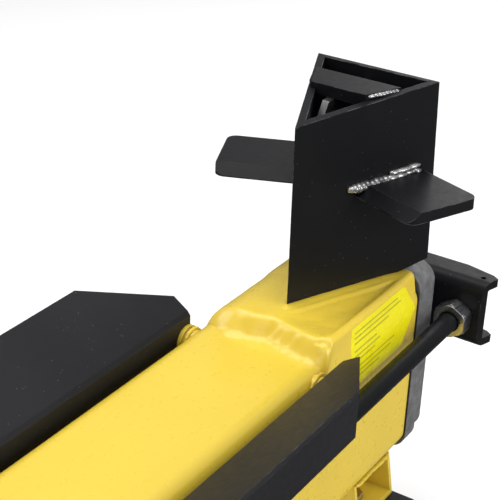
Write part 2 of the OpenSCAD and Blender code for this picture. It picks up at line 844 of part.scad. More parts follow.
module pump_body() {
    mid_z0 = 176;
    mid_z1 = 268;
    block_l = pump_x1 - pump_x0 - pump_flange + eps;
    ear_t = 8;
    chamber_d = 2 * gear_r + gear_m + 0.6;
    color([0.55, 0.56, 0.57]) difference() {
        union() {
            along_x(pump_x1 - pump_flange, pump_flange) translate([0, beam_mid])
                rrect(cover_w, cover_h, cover_r);
            translate([pump_x0, -beam_w / 2, mid_z0]) cube([block_l, beam_w, mid_z1 - mid_z0]);
            translate([pump_x0, -neck_hw, neck_z0]) cube([block_l, 2 * neck_hw, neck_z1 - neck_z0]);
            // ears for the lever
            for (s = [-1, 1]) along_y(lever_y + s * (lever_t / 2 + ear_t / 2 + 0.5) - ear_t / 2, ear_t)
                polygon([[lever_x - 13, neck_z1 - eps], [lever_x + 13, neck_z1 - eps],
                    [lever_x + 9, lever_z + 9], [lever_x - 9, lever_z + 9]]);
        }
        translate([pump_x1 - pump_flange - eps, 0, 0]) screw_places()
            rod_x(0, pump_flange + 2 * eps, screw_d + gap);
        translate([pump_x1 - pump_flange - 12, 0, 0]) screw_places() rod_x(0, 12, head_d + 6);
        rod_x(pump_x1 - seat, seat + eps, barrel_d + gap, 0, ram_z);
        // oil port from the spool into the cylinder, suction pocket and filler passage
        rod_x(spool_x, pump_x1 - spool_x + eps, screw_d, lever_y, ram_z + 18);
        along_x(pump_x1 - 12, 12 + eps) oil_pocket();
        rod_x(filler_x, pump_x1 - filler_x, filler_d - 4, filler_y, beam_z + 44);
        // gear chambers, open to the motor
        for (z = [motor_z, motor_z - gear_dist])
            rod_x(pump_x0 - eps, gear_l + 3 + eps, chamber_d, 0, z);
        translate([spool_x, lever_y, mid_z0 + 60]) cylinder(d = spool_d + gap, h = 100);
        rod_y(lever_y - 30, 60, pin_d + gap, lever_x, lever_z);
        // filler neck for the dipstick
        translate([filler_x, filler_y, beam_z + 40]) cylinder(d = filler_d + gap, h = beam_h);
        // threaded hole of the bleed screw
        rod_y(filler_y, beam_w / 2, screw_d + gap, bleed_x, bleed_z);
        // tapped holes of the handle and of the lever guard
        for (s = [0, 1]) mirror([0, s, 0]) for (x = handle_screws)
            rod_y(beam_w / 2 - 14, 20, handle_screw_d + gap, pump_x0 + x, handle_z);
        for (x = guard_screw_x)
            rod_y(-beam_w / 2 - 6, 20, guard_screw_d + gap, guard_x1 + x, guard_screw_z);
    }
}

// the odd number of teeth turns a gap of the lower gear to a tooth of the upper one
module gear(x, z) {
    root = gear_r - gear_m / 2;
    tip = gear_r + gear_m / 2;
    root_hw = 1.9;
    tip_hw = 0.9;
    translate([x, 0, z]) rotate([0, 90, 0]) linear_extrude(height = gear_l) {
        circle(root);
        for (i = [0 : gear_n - 1]) rotate(i * 360 / gear_n)
            polygon([[root - 1, -root_hw], [tip, -tip_hw], [tip, tip_hw], [root - 1, root_hw]]);
    }
}

module drive_gear() {
    color([0.5, 0.5, 0.52]) difference() {
        gear(gear_x0, motor_z);
        rod_x(gear_x0 - eps, gear_l + 2 * eps, gear_hole, 0, motor_z);
    }
}

module driven_gear() {
    color([0.5, 0.5, 0.52]) gear(gear_x0, motor_z - gear_dist);
}

module valve_spool() {
    land = 12;
    low = lever_z - 78;
    color([0.75, 0.76, 0.78]) translate([spool_x, lever_y, 0]) {
        translate([0, 0, low]) cylinder(d = spool_d - 5, h = 70);
        for (z = [0, 24, 44]) translate([0, 0, low + z]) cylinder(d = spool_d, h = land);
        translate([0, 0, lever_z - 10]) cylinder(d = spool_d - 3, h = 4);
    }
}

module control_lever() {
    arm = spool_x - lever_x;
    color([0.09, 0.09, 0.1]) difference() {
        along_y(lever_y - lever_t / 2, lever_t) {
            translate([lever_x, lever_z]) {
                circle(11);
                rotate(90 + lever_a) translate([0, -5]) square([lever_l, 10]);
                translate([0, -5.7]) square([arm, 10]);
                translate([arm, 1.3]) circle(7);
            }
        }
        rod_y(lever_y - lever_t, 2 * lever_t, pin_d + gap, lever_x, lever_z);
    }
}

module lever_knob() {
    d = 34;
    color([0.75, 0.1, 0.08]) translate([lever_x, lever_y, lever_z]) rotate([0, -lever_a, 0]) difference() {
        translate([0, 0, lever_l + 6]) {
            sphere(d = d);
            translate([0, 0, -d / 2 - 6]) cylinder(d = 18, h = 12);
        }
        translate([-5, -lever_t / 2, 0]) cube([10, lever_t, lever_l]);
    }
}

module lever_pin() {
    color([0.7, 0.7, 0.72]) {
        rod_y(lever_y - 14, 28, pin_d, lever_x, lever_z);
        rod_y(lever_y - 17, 3, pin_d + 6, lever_x, lever_z);
        rod_y(lever_y + 14, 3, pin_d + 6, lever_x, lever_z);
    }
}

// one corner of the guard, turned in the plane of the bar
module guard_corner(x, z, turn) {
    translate([x, 0, z]) rotate([90, 0, 0]) rotate(turn) rotate_extrude(angle = 90)
        translate([guard_r, 0]) circle(d = guard_d);
}

module lever_guard() {
    z1 = lever_z + 88;
    y = -beam_w / 2 - guard_foot - guard_d / 2 + eps;
    low_z = lever_z - 34;
    side_z = lever_z - 30;
    color([0.95, 0.83, 0.2]) {
        translate([0, y, 0]) {
            translate([guard_x1, 0, guard_z0]) cylinder(d = guard_d, h = z1 - guard_r - guard_z0);
            translate([guard_x0, 0, side_z + guard_r]) cylinder(d = guard_d, h = z1 - side_z - 2 * guard_r);
            guard_corner(guard_x0 + guard_r, z1 - guard_r, 90);
            guard_corner(guard_x1 - guard_r, z1 - guard_r, 0);
            guard_corner(guard_x0 + guard_r, side_z + guard_r, 180);
            for (z = [z1, side_z])
                rod_x(guard_x0 + guard_r, guard_x1 - guard_x0 - 2 * guard_r, guard_d, 0, z);
            rod_x(guard_x1 - guard_r - eps, guard_r + eps, guard_d, 0, side_z);
        }
        difference() {
            translate([guard_x1 - 11, -beam_w / 2 - guard_foot, guard_z0 - 18])
                cube([22, guard_foot, low_z - guard_z0 - 16]);
            for (x = guard_screw_x)
                rod_y(-beam_w / 2 - 6, 10, guard_screw_d + gap, guard_x1 + x, guard_screw_z);
        }
    }
}

module oil_dipstick() {
    cap_d = 26;
    cap_h = 9;
    grip = 8;
    stick_z = beam_z + 56;
    color([0.1, 0.1, 0.11]) translate([filler_x, filler_y, 0]) {
        translate([0, 0, neck_z1]) cylinder(d = cap_d, h = cap_h);
        translate([0, 0, neck_z1 + cap_h - eps]) intersection() {
            cylinder(d = cap_d, h = cap_h + eps);
            translate([-cap_d, -grip / 2, 0]) cube([2 * cap_d, grip, 2 * cap_h]);
        }
        translate([0, 0, neck_z1 - 18]) cylinder(d = filler_d, h = 18 + eps);
        translate([0, 0, stick_z]) cylinder(d = 5, h = neck_z1 - stick_z);
    }
}

module bleed_screw() {
    knob_d = 24;
    knob_h = 9;
    flutes = 12;
    y = beam_w / 2 + 0.3;
    color([0.75, 0.1, 0.08]) translate([bleed_x, 0, 0]) difference() {
        union() {
            rod_y(38, y - 38 + eps, screw_d, 0, bleed_z);
            rod_y(y, knob_h, knob_d, 0, bleed_z);
            rod_y(y + knob_h - eps, 4, knob_d - 10, 0, bleed_z);
        }
        for (i = [0 : flutes - 1]) translate([0, 0, bleed_z]) rotate([0, i * 360 / flutes, 0])
            rod_y(y - eps, knob_h + 2 * eps, 2.4, knob_d / 2 + 0.4, 0);
    }
}

// Motor

module motor_housing() {
    skin = 122;
    wall = 10;
    fin_t = 2.4;
    color([0.16, 0.17, 0.18]) difference() {
        union() {
            rod_x(motor_x0, motor_l, skin, 0, motor_z);
            rod_x(motor_x1 - 12, 12, motor_d, 0, motor_z);
            rod_x(motor_x0, 6, motor_d - 4, 0, motor_z);
            along_x(motor_x0 + 6, motor_l - 12) translate([0, motor_z])
                for (i = [0 : fins - 1]) rotate(i * 360 / fins)
                    translate([skin / 2 - 1, -fin_t / 2]) square([(motor_d - skin) / 2 + 1, fin_t]);
        }
        rod_x(motor_x0 - eps, motor_l - wall + eps, motor_bore, 0, motor_z);
        rod_x(motor_x1 - wall - 1, wall + 2, shaft_d + gap, 0, motor_z);
    }
}

module rear_shield() {
    color([0.16, 0.17, 0.18]) difference() {
        union() {
            rod_x(motor_x0 - shield_t, shield_t, motor_d - 14, 0, motor_z);
            rod_x(motor_x0 - eps, 10, motor_bore - gap, 0, motor_z);
        }
        rod_x(motor_x0 - shield_t - eps, shield_t + 12, shaft_d + gap, 0, motor_z);
        rod_x(motor_x0 + 4, 12, 90, 0, motor_z);
    }
}

module stator() {
    l = core_l;
    x = motor_x0 + core_x;
    color([0.5, 0.35, 0.2]) difference() {
        union() {
            rod_x(x, l, motor_bore - gap, 0, motor_z);
            rod_x(x - 12, l + 24, motor_bore - 10, 0, motor_z);
        }
        rod_x(x - 20, l + 40, rotor_d + 1, 0, motor_z);
    }
}

module rotor() {
    color([0.55, 0.55, 0.57]) {
        rod_x(motor_x0 + core_x, core_l, rotor_d, 0, motor_z);
        rod_x(fan_x0 + 8, gear_x0 - fan_x0 - 8, shaft_d, 0, motor_z);
        rod_x(gear_x0 - eps, gear_l, gear_hole - gap, 0, motor_z);
    }
}

module motor_fan() {
    hub = 34;
    blade_h = 22;
    blades = 9;
    blade_t = 2.4;
    disc_d = 112;
    disc_t = 3;
    color([0.1, 0.1, 0.11]) difference() {
        union() {
            rod_x(fan_x0 + 10, blade_h, hub, 0, motor_z);
            rod_x(fan_x0 + 10 + blade_h - disc_t, disc_t, disc_d, 0, motor_z);
            for (i = [0 : blades - 1]) translate([fan_x0 + 10, 0, motor_z]) rotate([i * 360 / blades, 0, 0])
                translate([0, -blade_t / 2, hub / 2 - 1]) cube([blade_h, blade_t, (disc_d - hub) / 2]);
        }
        rod_x(fan_x0, 2 * blade_h, shaft_d + gap, 0, motor_z);
    }
}

module fan_cover() {
    skin = 1.8;
    rings = [16, 28, 40, 52];
    slot_hw = 3.4;
    web = 5;
    color([0.1, 0.1, 0.11]) difference() {
        rod_x(fan_x0, fan_l - gap, motor_d - 6, 0, motor_z);
        rod_x(fan_x0 + skin, fan_l, motor_d - 6 - 2 * skin, 0, motor_z);
        along_x(fan_x0 - eps, 2 * skin) translate([0, motor_z]) for (r = rings) difference() {
            circle(r + slot_hw);
            circle(r - slot_hw);
            for (i = [0 : 3]) rotate(45 * i) square([motor_d, web], center = true);
        }
    }
}

module switch_box() {
    wall = 3;
    foot_z = motor_z + 44;
    floor_z = motor_z + 72;
    box_l = box_x1 - box_x0;
    color([0.1, 0.1, 0.11]) difference() {
        along_x(box_x0, box_l) translate([0, (foot_z + box_z1) / 2]) rrect(2 * box_hw, box_z1 - foot_z, 7);
        along_x(box_x0 + wall, box_l - 2 * wall) translate([0, (floor_z + box_z1) / 2])
            rrect(2 * box_hw - 2 * wall, box_z1 - floor_z - 2 * wall, 5);
        rod_x(box_x0 - eps, box_l + 2 * eps, motor_d + gap, 0, motor_z);
        for (x = button_x) rod_y(-box_hw - eps, wall + 2 * eps, button_d + 2 * gap, x, button_z);
        translate([box_x0 - eps, -plug_w / 2, button_z - plug_w / 2])
            cube([wall + 2 * eps, plug_w, plug_w]);
    }
}

// cap in the wall of the box with a flange that keeps it in
module button(x) {
    rod_y(-box_hw - 4, 10, button_d, x, button_z);
    rod_y(-box_hw + 3.2, 3, button_d + 4, x, button_z);
}

module start_button() {
    color([0.1, 0.5, 0.2]) button(button_x[1]);
}

module stop_button() {
    color([0.75, 0.1, 0.08]) {
        button(button_x[0]);
        rod_y(-box_hw - 12, 8 + eps, button_d + 8, button_x[0], button_z);
    }
}

module inlet_plug() {
    flange_w = 44;
    flange_t = 3;
    hood = 16;
    prong_d = 4;
    fit_w = plug_w - gap;
    face = box_x0 - flange_t;
    color([0.08, 0.08, 0.09]) {
        difference() {
            along_x(face, flange_t - gap) translate([0, button_z]) rrect(flange_w, flange_w, 5);
            along_x(face - eps, 2 * flange_t) translate([0, button_z]) square(plug_w - 4, center = true);
        }
        difference() {
            along_x(box_x0 - hood, hood + 18) translate([0, button_z]) rrect(fit_w, fit_w, 4);
            along_x(box_x0 - hood - eps, hood + 14) translate([0, button_z])
                rrect(plug_w - 5, plug_w - 5, 3);
        }
        for (y = [-7, 0, 7])
            rod_x(box_x0 - 6, 22, prong_d, y, button_z + (y == 0 ? 5 : -3));
    }
}

module capacitor() {
    color([0.8, 0.8, 0.82]) rod_x(box_x0 + 22, 56, 26, 18, motor_z + 88.5);
}

// Wheels and handle

module axle() {
    hl = wheel_y + wheel_w + 12;
    color([0.6, 0.6, 0.62]) rod_y(-hl, 2 * hl, axle_d, axle_x, axle_z);
}

module axle_bracket() {
    foot = 38;
    low = 15;
    hw = 52;
    t = 4;
    tube_l = 30;
    front = beam_x0 + 2;
    color([0.95, 0.83, 0.2]) difference() {
        union() {
            for (s = [-1, 1]) along_y(s * (hw - t / 2) - t / 2, t) polygon([[front, beam_z],
                [axle_x - low, axle_z - low], [axle_x + low, axle_z - low], [axle_x + foot, beam_z]]);
            translate([front, -hw, beam_z - t]) cube([axle_x + foot - front, 2 * hw, t]);
            for (s = [-1, 1]) translate([0, s * (wheel_y - 1 - tube_l / 2), 0])
                rod_y(-tube_l / 2, tube_l, axle_d + 10, axle_x, axle_z);
        }
        rod_y(-beam_w, 2 * beam_w, axle_d + gap, axle_x, axle_z);
    }
}

module wheel() {
    spokes = 5;
    spoke_t = 6;
    rim_w = wheel_w - 6;
    translate([axle_x, wheel_y + wheel_w / 2, axle_z]) rotate([90, 0, 0]) difference() {
        union() {
            cylinder(d = hub_d, h = wheel_w, center = true);
            difference() {
                cylinder(d = rim_d, h = rim_w, center = true);
                cylinder(d = rim_d - 10, h = wheel_w, center = true);
            }
            cylinder(d = rim_d - 4, h = 5, center = true);
            for (i = [0 : spokes - 1]) rotate(i * 360 / spokes)
                translate([0, -spoke_t / 2, 2 - rim_w / 2]) cube([rim_d / 2 - 2, spoke_t, rim_w - 4]);
        }
        cylinder(d = axle_d + gap, h = 2 * wheel_w, center = true);
    }
}

module tyre() {
    crown = 9;
    translate([axle_x, wheel_y + wheel_w / 2, axle_z]) rotate([90, 0, 0]) rotate_extrude()
        translate([(rim_d + wheel_d) / 4, 0]) rrect(tyre_t, wheel_w, crown);
}

module wheel_left() {
    color([0.15, 0.15, 0.16]) wheel();
}

module wheel_right() {
    color([0.15, 0.15, 0.16]) mirror([0, 1, 0]) wheel();
}

module tyre_left() {
    color([0.05, 0.05, 0.05]) tyre();
}

module tyre_right() {
    color([0.05, 0.05, 0.05]) mirror([0, 1, 0]) tyre();
}

module axle_caps() {
    y = wheel_y + wheel_w + 0.3;
    color([0.7, 0.7, 0.72]) for (s = [0, 1]) mirror([0, s, 0]) {
        difference() {
            union() {
                rod_y(y, 3, axle_d + 18, axle_x, axle_z);
                rod_y(y + 3 - eps, 9.2 + eps, axle_d + 8, axle_x, axle_z);
            }
            rod_y(y - eps, 12 - 0.3 + eps, axle_d + gap, axle_x, axle_z);
        }
        // washer between the bracket and the hub
        difference() {
            rod_y(wheel_y - 0.8, 0.5, axle_d + 12, axle_x, axle_z);
            rod_y(wheel_y - 2, 4, axle_d + gap, axle_x, axle_z);
        }
    }
}

module handle() {
    x1 = pump_x1 - pump_flange - 4;
    bend_x = handle_x0 + handle_r;
    spacer_y = beam_w / 2 + gap;
    color([0.09, 0.09, 0.1]) difference() {
        union() {
            for (s = [0, 1]) mirror([0, s, 0]) {
                rod_x(bend_x, x1 - bend_x, handle_d, handle_y, handle_z);
                for (x = handle_screws)
                    rod_y(spacer_y, handle_y - spacer_y, handle_d - 4, pump_x0 + x, handle_z);
                translate([bend_x, handle_y - handle_r, handle_z]) rotate([0, 0, 90])
                    rotate_extrude(angle = 90) translate([handle_r, 0]) circle(d = handle_d);
            }
            rod_y(handle_r - handle_y, 2 * (handle_y - handle_r), handle_d, handle_x0, handle_z);
        }
        for (x = handle_screws)
            rod_y(-2 * handle_y, 4 * handle_y, handle_screw_d + gap, pump_x0 + x, handle_z);
    }
}

// Drawing

module placed() {
    translate([-origin_x, 0, 0]) children();
}

placed() beam_tube();
placed() saddle();
placed() tray_bosses();
placed() leg_bracket();
placed() foot_stand();
placed() foot_pads();
placed() foot_bolts();
placed() wedge_sides();
placed() wedge_back();
placed() wedge_brace();
placed() wedge_rib();
placed() wing_left();
placed() wing_right();
placed() end_gasket();
placed() end_cover();
placed() body_screws();
placed() rod_seal();
placed() barrel();
placed() piston();
placed() piston_seals();
placed() piston_rod();
placed() yoke();
placed() rod_nut();
placed() tie_rods();
placed() tie_nuts();
placed() pusher_plate();
placed() pusher_carriage();
placed() tray_left();
placed() tray_right();
placed() tray_bolts();
placed() pump_gasket();
placed() pump_body();
placed() drive_gear();
placed() driven_gear();
placed() valve_spool();
placed() control_lever();
placed() lever_knob();
placed() lever_pin();
placed() lever_guard();
placed() oil_dipstick();
placed() bleed_screw();
placed() motor_housing();
placed() rear_shield();
placed() stator();
placed() rotor();
placed() motor_fan();
placed() fan_cover();
placed() switch_box();
placed() start_button();
placed() stop_button();
placed() inlet_plug();
placed() capacitor();
placed() axle();
placed() axle_bracket();
placed() wheel_left();
placed() wheel_right();
placed() tyre_left();
placed() tyre_right();
placed() axle_caps();
placed() handle();
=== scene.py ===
import json
import math

import bpy
import numpy as np
from mathutils import Matrix, Vector


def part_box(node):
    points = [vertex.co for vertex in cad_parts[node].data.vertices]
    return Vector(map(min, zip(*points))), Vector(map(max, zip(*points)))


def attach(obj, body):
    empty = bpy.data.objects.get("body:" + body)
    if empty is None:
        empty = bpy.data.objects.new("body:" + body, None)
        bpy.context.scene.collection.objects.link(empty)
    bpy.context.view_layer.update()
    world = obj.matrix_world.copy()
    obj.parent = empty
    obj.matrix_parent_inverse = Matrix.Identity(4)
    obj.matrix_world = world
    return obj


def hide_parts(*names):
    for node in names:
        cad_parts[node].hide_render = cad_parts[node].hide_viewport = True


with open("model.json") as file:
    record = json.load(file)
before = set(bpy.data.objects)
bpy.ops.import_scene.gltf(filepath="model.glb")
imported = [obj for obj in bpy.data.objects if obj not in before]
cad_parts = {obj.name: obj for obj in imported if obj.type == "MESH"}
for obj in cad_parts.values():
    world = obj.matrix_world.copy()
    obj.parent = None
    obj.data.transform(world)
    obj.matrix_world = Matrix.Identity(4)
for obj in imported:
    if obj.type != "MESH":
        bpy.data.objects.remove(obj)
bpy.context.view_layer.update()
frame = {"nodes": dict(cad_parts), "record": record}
NODES = frame["nodes"]
MM = 0.001
# how far the wedge's cutting edge leans forwards, and over what height
LEAN = 2.5 * MM
EDGE_H = 158 * MM
APEX_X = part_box("wedge_sides")[0][0] + LEAN


# Camera

def make_camera():
    """The camera looks along the beam from the motor's side, a little above and to the right."""
    look = Vector((0.75527, 0.47121, -0.45554))
    right = Vector((0.54467, -0.83787, 0.03635))
    look.normalize()
    right = (right - look * right.dot(look)).normalized()
    up = right.cross(look)
    eye = Vector((APEX_X - 0.8328, -0.4818, 0.8716))
    data = bpy.data.cameras.new("camera")
    data.sensor_width = 36.0
    data.lens = 96.5
    data.clip_start = 0.05
    data.clip_end = 50.0
    cam = bpy.data.objects.new("camera", data)
    turn = Matrix((right, up, -look)).transposed().to_4x4()
    cam.matrix_world = Matrix.Translation(eye) @ turn
    bpy.context.scene.collection.objects.link(cam)
    bpy.context.scene.camera = cam


make_camera()


# Node helpers

class Graph:
    """A material's node tree with short calls for the nodes that this scene uses."""

    def __init__(self, name):
        self.mat = bpy.data.materials.new(name)
        self.mat.use_nodes = True
        self.tree = self.mat.node_tree
        self.tree.nodes.clear()
        self.out = self.tree.nodes.new("ShaderNodeOutputMaterial")
        self.bsdf = self.tree.nodes.new("ShaderNodeBsdfPrincipled")
        self.tree.links.new(self.bsdf.outputs[0], self.out.inputs[0])
        self.coord = self.tree.nodes.new("ShaderNodeTexCoord").outputs["Object"]

    def node(self, kind, **values):
        n = self.tree.nodes.new(kind)
        for k, v in values.items():
            setattr(n, k, v)
        return n

    def put(self, value, socket):
        if hasattr(value, "is_output"):
            self.tree.links.new(value, socket)
        else:
            socket.default_value = value

    def scaled(self, vector, factors):
        n = self.node("ShaderNodeVectorMath", operation="MULTIPLY")
        self.put(vector, n.inputs[0])
        n.inputs[1].default_value = factors
        return n.outputs[0]

    def noise(self, scale, detail=2.0, rough=0.5, vector=None, distortion=0.0):
        n = self.node("ShaderNodeTexNoise")
        self.put(vector or self.coord, n.inputs["Vector"])
        n.inputs["Scale"].default_value = scale
        n.inputs["Detail"].default_value = detail
        n.inputs["Roughness"].default_value = rough
        n.inputs["Distortion"].default_value = distortion
        return n.outputs["Fac"]

    def voronoi(self, scale, feature="F1", vector=None):
        n = self.node("ShaderNodeTexVoronoi", feature=feature)
        self.put(vector or self.coord, n.inputs["Vector"])
        n.inputs["Scale"].default_value = scale
        return n.outputs["Distance"]

    def ramp(self, value, lo, hi, to_lo=0.0, to_hi=1.0):
        n = self.node("ShaderNodeMapRange", clamp=True)
        self.put(value, n.inputs[0])
        for i, v in enumerate((lo, hi, to_lo, to_hi)):
            n.inputs[i + 1].default_value = v
        return n.outputs[0]

    def math(self, op, a, b=0.0):
        n = self.node("ShaderNodeMath", operation=op)
        self.put(a, n.inputs[0])
        self.put(b, n.inputs[1])
        return n.outputs[0]

    def mix(self, factor, a, b, mode="MIX"):
        n = self.node("ShaderNodeMix", data_type="RGBA", blend_type=mode)
        self.put(factor, n.inputs[0])
        for v, i in ((a, 6), (b, 7)):
            self.put(v if hasattr(v, "is_output") else (*v, 1.0), n.inputs[i])
        return n.outputs[2]

    def soft_edges(self, radius):
        """The surface's normal with its edges rounded, and how near an edge is."""
        bevel = self.node("ShaderNodeBevel", samples=6)
        bevel.inputs[0].default_value = radius
        flat = self.node("ShaderNodeNewGeometry").outputs["True Normal"]
        dot = self.node("ShaderNodeVectorMath", operation="DOT_PRODUCT")
        self.put(bevel.outputs[0], dot.inputs[0])
        self.put(flat, dot.inputs[1])
        return bevel.outputs[0], self.ramp(dot.outputs["Value"], 0.97, 0.75)

    def bump(self, height, distance, normal=None, strength=1.0):
        n = self.node("ShaderNodeBump")
        n.inputs["Strength"].default_value = strength
        n.inputs["Distance"].default_value = distance
        self.put(height, n.inputs["Height"])
        if normal is not None:
            self.put(normal, n.inputs["Normal"])
        return n.outputs[0]

    # Ambient occlusion as a mask, low in corners and crevices: it drives painted shade where surfaces close
    # in.
    def painted_crevice_shade(self, distance):
        n = self.node("ShaderNodeAmbientOcclusion", samples=6)
        n.inputs["Distance"].default_value = distance
        return self.ramp(n.outputs["AO"], 0.35, 0.9)

    def set(self, **sockets):
        names = {
            "color": "Base Color", "rough": "Roughness", "metal": "Metallic",
            "normal": "Normal", "coat": "Coat Weight", "coat_rough": "Coat Roughness",
            "specular": "Specular IOR Level", "sheen": "Sheen Weight",
        }
        for k, v in sockets.items():
            socket = self.bsdf.inputs[names[k]]
            self.put((*v, 1.0) if isinstance(v, tuple) else v, socket)
        return self.mat


def paint(name, color, dark, rough, spread, peel, edge, edge_wear_and_highlight, dust=0.0, coat=0.0, radius=1.2,
          specular=0.5):
    """Sprayed paint: orange peel, uneven gloss, painted shade in crevices, a rounded rim whose lighter
    edges are partly thin paint and partly a painted highlight, and dust specks.
    """
    g = Graph(name)
    cloud = g.noise(9.0, 3.0)
    fine = g.noise(160.0, 3.0, 0.6)
    base = g.mix(g.ramp(cloud, 0.3, 0.7), dark, color)
    # Painted shade: the colour darkens in crevices and corners.
    base = g.mix(g.painted_crevice_shade(0.012), tuple(0.72 * c for c in dark), base)
    normal, rim = g.soft_edges(radius * MM)
    # Lighter edges: partly worn thin paint, partly a painted highlight along the rims.
    worn_and_highlit_edge = g.math("MULTIPLY", rim, g.ramp(g.noise(70.0, 4.0, 0.7), 0.45, 0.62, 0.0, edge_wear_and_highlight))
    base = g.mix(worn_and_highlit_edge, base, edge)
    gloss = g.ramp(fine, 0.25, 0.75, rough - spread, rough + spread)
    if dust:
        spot = g.ramp(g.voronoi(210.0), 0.1, 0.06)
        thin = g.math("MULTIPLY", spot, g.ramp(g.noise(60.0, 2.0), 0.5, 0.6, 0.0, dust))
        base = g.mix(thin, base, (0.35, 0.34, 0.32))
        gloss = g.math("ADD", gloss, g.math("MULTIPLY", thin, 0.3))
    skin = g.math("ADD", g.noise(520.0, 2.0), g.math("MULTIPLY", g.noise(45.0, 2.0), 1.6))
    normal = g.bump(skin, peel * MM, normal, 0.6)
    return g.set(color=base, rough=gloss, normal=normal, coat=coat, coat_rough=0.12,
                 specular=specular)


def metal(name, color, rough, brushed=(60.0, 900.0, 900.0), tarnish=(0.35, 0.34, 0.33), depth=0.02,
          metallic=1.0, radius=0.8):
    """Bare or plated metal with fine directional marks and a little tarnish, painted shade in crevices and
    a painted highlight on the rims.
    """
    g = Graph(name)
    marks = g.noise(1.0, 3.0, 0.6, g.scaled(g.coord, brushed))
    cloud = g.noise(38.0, 4.0, 0.6)
    base = g.mix(g.ramp(cloud, 0.45, 0.75), color, tarnish)
    # Painted shade: darker in crevices.
    base = g.mix(g.painted_crevice_shade(0.006), tuple(0.35 * c for c in color), base)
    normal, rim = g.soft_edges(radius * MM)
    # Painted highlight: the colour is lighter along the rims.
    base = g.mix(g.math("MULTIPLY", rim, 0.4), base, tuple(min(1.0, 1.25 * c) for c in color))
    gloss = g.ramp(marks, 0.3, 0.7, 0.75 * rough, 1.3 * rough)
    normal = g.bump(marks, depth * MM, normal, 0.5)
    return g.set(color=base, rough=gloss, metal=metallic, normal=normal)


def cast(name, color, rough=0.55, metallic=0.35):
    """Sand-cast skin: coarse grain and pits, painted shade in the hollows and a painted highlight on the
    rims.
    """
    g = Graph(name)
    grain = g.noise(620.0, 5.0, 0.7)
    lumps = g.noise(120.0, 3.0, 0.55)
    base = g.mix(g.ramp(lumps, 0.35, 0.68), tuple(0.7 * c for c in color), tuple(1.15 * c for c in color))
    base = g.mix(g.ramp(grain, 0.45, 0.7, 0.0, 0.35), base, tuple(0.5 * c for c in color))
    # Painted shade: darker in the hollows.
    base = g.mix(g.painted_crevice_shade(0.01), tuple(0.4 * c for c in color), base)
    normal, rim = g.soft_edges(1.6 * MM)
    # Painted highlight: the colour is lighter along the rims.
    base = g.mix(g.math("MULTIPLY", rim, 0.45), base, tuple(1.5 * c for c in color))
    height = g.math("ADD", grain, g.math("MULTIPLY", lumps, 1.5))
    normal = g.bump(height, 0.35 * MM, normal, 0.75)
    return g.set(color=base, rough=g.ramp(grain, 0.3, 0.7, rough - 0.1, rough + 0.15),
                 metal=metallic, normal=normal)


def moulded(name, color, rough, grain=0.06, scale=900.0, radius=1.0, pale=None, coat=0.0):
    """Moulded plastic or rubber: spark-eroded grain, slight scuffs, painted shade in crevices and rounded
    rims with a painted highlight.
    """
    g = Graph(name)
    pale = pale or tuple(min(1.0, 1.5 * c + 0.01) for c in color)
    scuff = g.noise(1.0, 4.0, 0.65, g.scaled(g.coord, (35.0, 90.0, 60.0)))
    base = g.mix(g.ramp(scuff, 0.52, 0.72, 0.0, 0.5), color, pale)
    # Painted shade: darker in crevices.
    base = g.mix(g.painted_crevice_shade(0.008), tuple(0.6 * c for c in color), base)
    normal, rim = g.soft_edges(radius * MM)
    # Painted highlight: the rims turn pale.
    base = g.mix(g.math("MULTIPLY", rim, 0.25), base, pale)
    pits = g.noise(scale, 2.0, 0.6)
    normal = g.bump(pits, grain * MM, normal, 0.6)
    gloss = g.ramp(scuff, 0.3, 0.7, rough - 0.06, rough + 0.08)
    return g.set(color=base, rough=gloss, normal=normal, coat=coat)


def wound_copper():
    g = Graph("winding")
    turns = g.noise(1.0, 2.0, 0.4, g.scaled(g.coord, (90.0, 1400.0, 1400.0)))
    base = g.mix(g.ramp(turns, 0.35, 0.65), (0.12, 0.045, 0.015), (0.42, 0.17, 0.05))
    return g.set(color=base, rough=g.ramp(turns, 0.3, 0.7, 0.3, 0.45), metal=0.6,
                 normal=g.bump(turns, 0.3 * MM))


YELLOW = (0.86, 0.63, 0.062)
YELLOW_DARK = (0.82, 0.59, 0.055)
# BLACK leans a little blue to offset the yellow light bounced onto it from the beam: a painted counter to
# that light.
BLACK = (0.0078, 0.0083, 0.0096)

